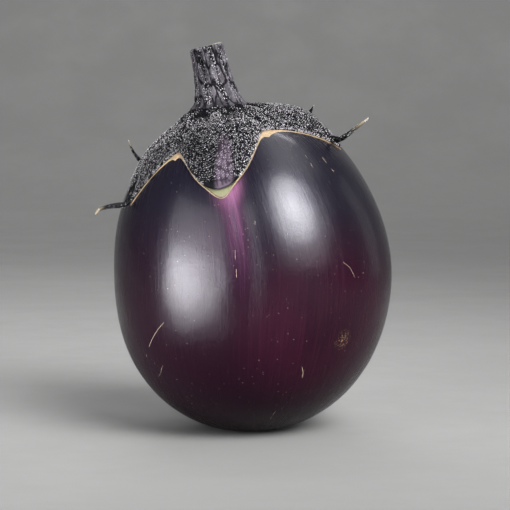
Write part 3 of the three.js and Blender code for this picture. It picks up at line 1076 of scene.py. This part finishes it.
def cut_tone(tree, settings, spot):
    """The pale pith of the cut end with its darker woody ring and pores."""
    far = attribute(tree, "across_cut")
    ring = times(tree, ranged(tree, far, 0.055, 0.07), ranged(tree, far, 0.1, 0.088))
    pith = mixed(tree, ring, rgba(settings.pith), rgba(settings.wood))
    pores = ranged(tree, grain(tree, spot, 1.8, 3.0, 0.7), 0.5, 0.68, 0.0, 0.5)
    return mixed(tree, pores, pith, rgba(settings.wood))


def stem_material(settings):
    material, tree, shader = new_material("stem bark")
    spot = in_millimetres(tree)
    marks = mottle(tree, moved(tree, spot, Rotation=(0, STEM_LEAN, 0), Scale=(1, 1, 0.28)), 0.9)
    dark = rgba(settings.groove)
    tone = mixed(tree, ranged(tree, marks["Patches"], 0.0, 1.0, 0.35, 1.0), dark, rgba(settings.bark))
    tone = mixed(tree, times(tree, marks["Specks"], 0.6), tone, rgba(BARK_SPECK_COLOUR))
    tone = mixed(tree, ranged(tree, attribute(tree, "groove"), 0.15, 0.7), tone, dark)
    tone = mixed(tree, ranged(tree, level_of(tree, spot), 129, 135, 0.6, 0.0), tone, dark)
    tone = mixed(tree, attribute(tree, "cut"), tone, cut_tone(tree, settings, spot))
    finish = {
        "Base Color": tone,
        "Roughness": ranged(tree, marks["Patches"], 0, 1, 0.85, 0.68),
        "Normal": bumped(tree, marks["Height"], 0.7, 0.0006),
        "Specular IOR Level": 0.06,
    }
    feed(tree, shader, finish)
    return material


def plain_material(name, value, roughness, spread, scale):
    """A matt natural finish whose tone varies over the surface."""
    material, tree, shader = new_material(name)
    shade = ranged(tree, grain(tree, in_millimetres(tree), scale, 4.0, 0.7), 0.3, 0.7)
    finish = {
        "Base Color": mixed(tree, shade, rgba(value, 1 - spread), rgba(value)),
        "Roughness": ranged(tree, shade, 0, 1, roughness, roughness - 0.12),
    }
    feed(tree, shader, finish)
    return material


def hair_material(settings, calyx):
    """Pale hairs, with painted shade on the front and left sepals, and purple in the middle of the front
    one.
    """
    material, tree, shader = new_material("star hair")
    spot = in_millimetres(tree)
    shade = ranged(tree, grain(tree, spot, 2.4, 2.0, 0.5), 0.45, 0.59)
    tone = mixed(tree, shade, rgba(settings.hair, 0.1), rgba(settings.hair, 2.1))
    # Painted shade: the hairs on the front and left sepals are mixed towards the calyx's dark colour.
    darker = times(tree, ranged(tree, closeness(tree, spot, *PAINTED_SHADE_SIDE), 0.0, 0.6), 0.6)
    tone = mixed(tree, darker, tone, rgba(calyx.flesh))
    flush = times(tree, flush_mask(tree, spot), ranged(tree, shade, 0, 1, 0.3, 0.8))
    finish = {
        "Base Color": mixed(tree, flush, tone, rgba(calyx.flush, 4.6)),
        "Roughness": ranged(tree, shade, 0, 1, 0.75, 0.6),
        "Specular IOR Level": 0.4,
    }
    feed(tree, shader, finish)
    return material


# ---------------------------------------------------------------- operators


class EGGPLANT_OT_skin(bpy.types.Operator):
    """Build the fruit with its glossy skin"""

    bl_idname = "eggplant.skin"
    bl_label = "Fruit"

    def execute(self, context):
        settings = context.scene.eggplant_skin
        finished(fruit_mesh(settings), "fruit_skin", skin_material(settings), "skin", "fruit")
        return {"FINISHED"}


class EGGPLANT_OT_calyx(bpy.types.Operator):
    """Build the calyx with its sepals, tails and prickles"""

    bl_idname = "eggplant.calyx"
    bl_label = "Calyx"

    def execute(self, context):
        settings = context.scene.eggplant_calyx
        wide = settings.tail_radius / MM
        parts = [calyx_shell(settings)]
        parts += [spike(tail_path(*tail), wide, TAIL_TIP, 0.9, 16, 44) for tail in TAILS]
        parts += [spike(prickle_path(*one), PRICKLE_RADIUS, PRICKLE_TIP, 1, 12, 20) for one in PRICKLES]
        finished(joined(parts), "calyx_skin", calyx_material(settings), "calyx", "calyx")
        return {"FINISHED"}


class EGGPLANT_OT_rim(bpy.types.Operator):
    """Build the corky line round the calyx"""

    bl_idname = "eggplant.rim"
    bl_label = "Corky rim"

    def execute(self, context):
        settings = context.scene.eggplant_calyx
        cork = plain_material("cork", settings.cork, 0.8, 0.5, 0.9)
        finished(rim_bead(settings), "corky_rim", cork, "calyx")
        return {"FINISHED"}


class EGGPLANT_OT_scars(bpy.types.Operator):
    """Build the fine corky scratches on the skin"""

    bl_idname = "eggplant.scars"
    bl_label = "Scratches"

    def execute(self, context):
        scab = plain_material("scab", context.scene.eggplant_skin.scab, 0.7, 0.45, 0.8)
        finished(scar_mesh(), "skin_scars", scab, "skin")
        return {"FINISHED"}


class EGGPLANT_OT_stem(bpy.types.Operator):
    """Build the ridged stem with its cut end"""

    bl_idname = "eggplant.stem"
    bl_label = "Stem"

    def execute(self, context):
        settings = context.scene.eggplant_stem
        finished(stem_mesh(settings), "stem_bark", stem_material(settings), "stem", "stem")
        return {"FINISHED"}


def calyx_hair_places(count, settings, chance):
    """Places for hairs spread evenly over the calyx, down to the foot of its edge."""
    places = []
    tried = 0
    while len(places) < count:
        tried += 1
        turned = SEPALS[-1][1] - 360 * (tried * EVEN_ROUND % 1) + chance.uniform(-0.3, 0.3)
        along = SEAT_END + (HAIRS_END - SEAT_END) * math.sqrt(tried * EVEN_ALONG % 1)
        if chance.random() > (outline_angle(turned) / 56) ** 2:
            continue
        if lip_share(portion_at(along), turned) > 0.5:
            continue
        if wrinkles(portion_at(along), turned) < chance.uniform(0, 0.45):
            continue
        point = calyx_place(turned, along, settings)
        step = calyx_place(turned, along + 0.008, settings) - point
        aside = calyx_place(turned + 0.7, along, settings) - point
        up = step.cross(aside).normalized()
        if along < TOP_END and up.dot(point - CENTRE) < 0:
            up.negate()
        places.append(standing(point, up, chance, chance.uniform(0.55, 1.15)))
    return places


def spike_hair_places(count, points, root_radius, tip_radius, chance):
    """Places for hairs round a tail or prickle."""
    places = []
    for _ in range(count):
        at = chance.uniform(0.08, 1)
        point = along_path(points, at)
        ahead = path_heading(points, at)
        away = Vector((chance.gauss(0, 1), chance.gauss(0, 1), chance.gauss(0, 1)))
        away = (away - ahead * away.dot(ahead)).normalized()
        point += away * (taper(at, root_radius, tip_radius) * 0.92)
        places.append(standing(point, away, chance, chance.uniform(0.35, 0.75)))
    return places


def growth_hair_places(calyx, chance):
    """Places for the hairs on all the tails and prickles."""
    places = []
    wide = calyx.tail_radius / MM
    for tail in TAILS:
        places += spike_hair_places(HAIRS_ON_TAIL, tail_path(*tail), wide, TAIL_TIP, chance)
    for prickle in PRICKLES:
        count = 12 + int(7 * prickle[2])
        places += spike_hair_places(count, prickle_path(*prickle), PRICKLE_RADIUS, PRICKLE_TIP, chance)
    return places


def stem_hair_places(count, chance):
    """Places for hairs on the stem, closer together near its foot."""
    places = []
    for _ in range(count):
        turned = chance.uniform(0, 360)
        height = STEM_LENGTH * chance.random() ** 1.6 * 0.97
        lean = blend(SEAT_LEAN, STEM_LEAN, min(1, 2 * height / STEM_LENGTH))
        radius = stem_radius(height)
        point = about_stem(radius + bark_height(turned, height), turned, height, lean)
        up = (point - about_stem(0, turned, height, lean)).normalized()
        places.append(standing(point, up, chance, chance.uniform(0.5, 0.95)))
    return places


class EGGPLANT_OT_hairs(bpy.types.Operator):
    """Scatter fine hairs over the calyx and the stem"""

    bl_idname = "eggplant.hairs"
    bl_label = "Hairs"

    def execute(self, context):
        settings = context.scene.eggplant_hairs
        calyx = context.scene.eggplant_calyx
        chance = random.Random(7)
        fewer = 1
        fur = hair_material(settings, calyx)
        places = calyx_hair_places(settings.calyx_hairs // fewer, calyx, chance)
        places += growth_hair_places(calyx, chance)
        finished(scattered(star_template(settings.ray / MM), places), "calyx_hairs", fur, "calyx")
        places = calyx_hair_places(settings.calyx_down // fewer, calyx, chance)
        finished(scattered(down_template(settings.down / MM), places), "calyx_down", fur, "calyx")
        places = stem_hair_places(settings.stem_hairs // fewer, chance)
        finished(scattered(star_template(settings.ray / MM), places), "stem_hairs", fur, "stem")
        return {"FINISHED"}


def sweep(settings):
    """The floor, curving up into a backdrop behind the fruit."""
    bm = bmesh.new()
    bmesh.ops.create_grid(bm, x_segments=1, y_segments=40, size=3)
    for vert in bm.verts:
        bend = smooth(vert.co.y, 0.9, 2.4)
        vert.co.z = 1.9 * bend * bend
    return made_object(bm, "floor", plain_material("floor paint", settings.floor, 0.9, 0.02, 0.01))


def area_light(name, place, target, size, power, spread):
    data = bpy.data.lights.new(name, "AREA")
    data.spread = math.radians(spread)
    data.shape = "RECTANGLE"
    data.size, data.size_y = size
    data.energy = power
    light = bpy.data.objects.new(name, data)
    light.location = place
    light.rotation_euler = (Vector(target) - Vector(place)).to_track_quat("-Z", "Y").to_euler()
    bpy.context.scene.collection.objects.link(light)
    return light


def near_light(name, aside, power):
    """A small panel close to the fruit's left side, some degrees round from the front."""
    facing = math.radians(aside / 2)
    spot = Vector((-math.sin(facing), -math.cos(facing), 0)) * (FRUIT_RADIUS * MM)
    spot.z = NEAR_LIGHT_HEIGHT
    turned = math.radians(aside)
    away = Vector((-math.sin(turned), -math.cos(turned), -0.152))
    return area_light(name, spot + away * 0.07, spot, (0.085, 0.09), power, 44)


def studio_world():
    """A faint, slightly blue light from all round."""
    world = bpy.data.worlds.new("studio")
    world.use_nodes = True
    background = world.node_tree.nodes["Background"]
    feed(world.node_tree, background, {"Color": (0.9, 0.92, 0.95, 1), "Strength": 0.12})
    return world


def front_camera():
    data = bpy.data.cameras.new("camera")
    data.lens = CAMERA_LENS
    data.sensor_width = 36
    data.clip_start = 0.01
    camera = bpy.data.objects.new("camera", data)
    view = Vector((0, -math.cos(CAMERA_RAISED), math.sin(CAMERA_RAISED)))
    camera.location = Vector(CAMERA_AIM) + view * CAMERA_DISTANCE
    camera.rotation_euler = (-view).to_track_quat("-Z", "Y").to_euler()
    bpy.context.scene.collection.objects.link(camera)
    return camera


class EGGPLANT_OT_stage(bpy.types.Operator):
    """Build the floor, backdrop, lights and camera"""

    bl_idname = "eggplant.stage"
    bl_label = "Stage"

    def execute(self, context):
        settings = context.scene.eggplant_stage
        floor = sweep(settings)
        lights = [
            near_light("outer left key", 59, settings.left_power),
            near_light("inner left key", 39, settings.left_power * 0.7),
        ]
        for name, place, target, size, power_name, spread in LIGHTS:
            lights.append(area_light(name, place, target, size, getattr(settings, power_name), spread))
        camera = front_camera()
        context.scene.camera = camera
        context.scene.world = studio_world()
        context.scene.view_settings.view_transform = "Standard"
        return {"FINISHED"}


class EGGPLANT_PT_panel(bpy.types.Panel):
    """Lists the eggplant's pieces and their settings"""

    bl_idname = "EGGPLANT_PT_panel"
    bl_label = "Eggplant"
    bl_space_type = "VIEW_3D"
    bl_region_type = "UI"
    bl_category = "Eggplant"

    def draw(self, context):
        for operator in OPERATORS:
            self.layout.operator(operator.bl_idname)
        for name, group in SETTINGS.items():
            box = self.layout.box()
            for prop in group.__annotations__:
                box.prop(getattr(context.scene, name), prop)


SETTINGS = {
    "eggplant_skin": EggplantSkinSettings,
    "eggplant_calyx": EggplantCalyxSettings,
    "eggplant_stem": EggplantStemSettings,
    "eggplant_hairs": EggplantHairSettings,
    "eggplant_stage": EggplantStageSettings,
}
OPERATORS = [
    EGGPLANT_OT_skin,
    EGGPLANT_OT_calyx,
    EGGPLANT_OT_rim,
    EGGPLANT_OT_scars,
    EGGPLANT_OT_stem,
    EGGPLANT_OT_hairs,
    EGGPLANT_OT_stage,
]


def register():
    for group in SETTINGS.values():
        bpy.utils.register_class(group)
    for name, group in SETTINGS.items():
        setattr(bpy.types.Scene, name, PointerProperty(type=group))
    for operator in OPERATORS:
        bpy.utils.register_class(operator)
    bpy.utils.register_class(EGGPLANT_PT_panel)


def unregister():
    bpy.utils.unregister_class(EGGPLANT_PT_panel)
    for operator in reversed(OPERATORS):
        bpy.utils.unregister_class(operator)
    for name in SETTINGS:
        delattr(bpy.types.Scene, name)
    for group in reversed(SETTINGS.values()):
        bpy.utils.unregister_class(group)


def main():
    register()
    bpy.ops.eggplant.skin()
    bpy.ops.eggplant.calyx()
    bpy.ops.eggplant.rim()
    bpy.ops.eggplant.scars()
    bpy.ops.eggplant.stem()
    bpy.ops.eggplant.hairs()
    bpy.ops.eggplant.stage()


if __name__ == "__main__":
    main()
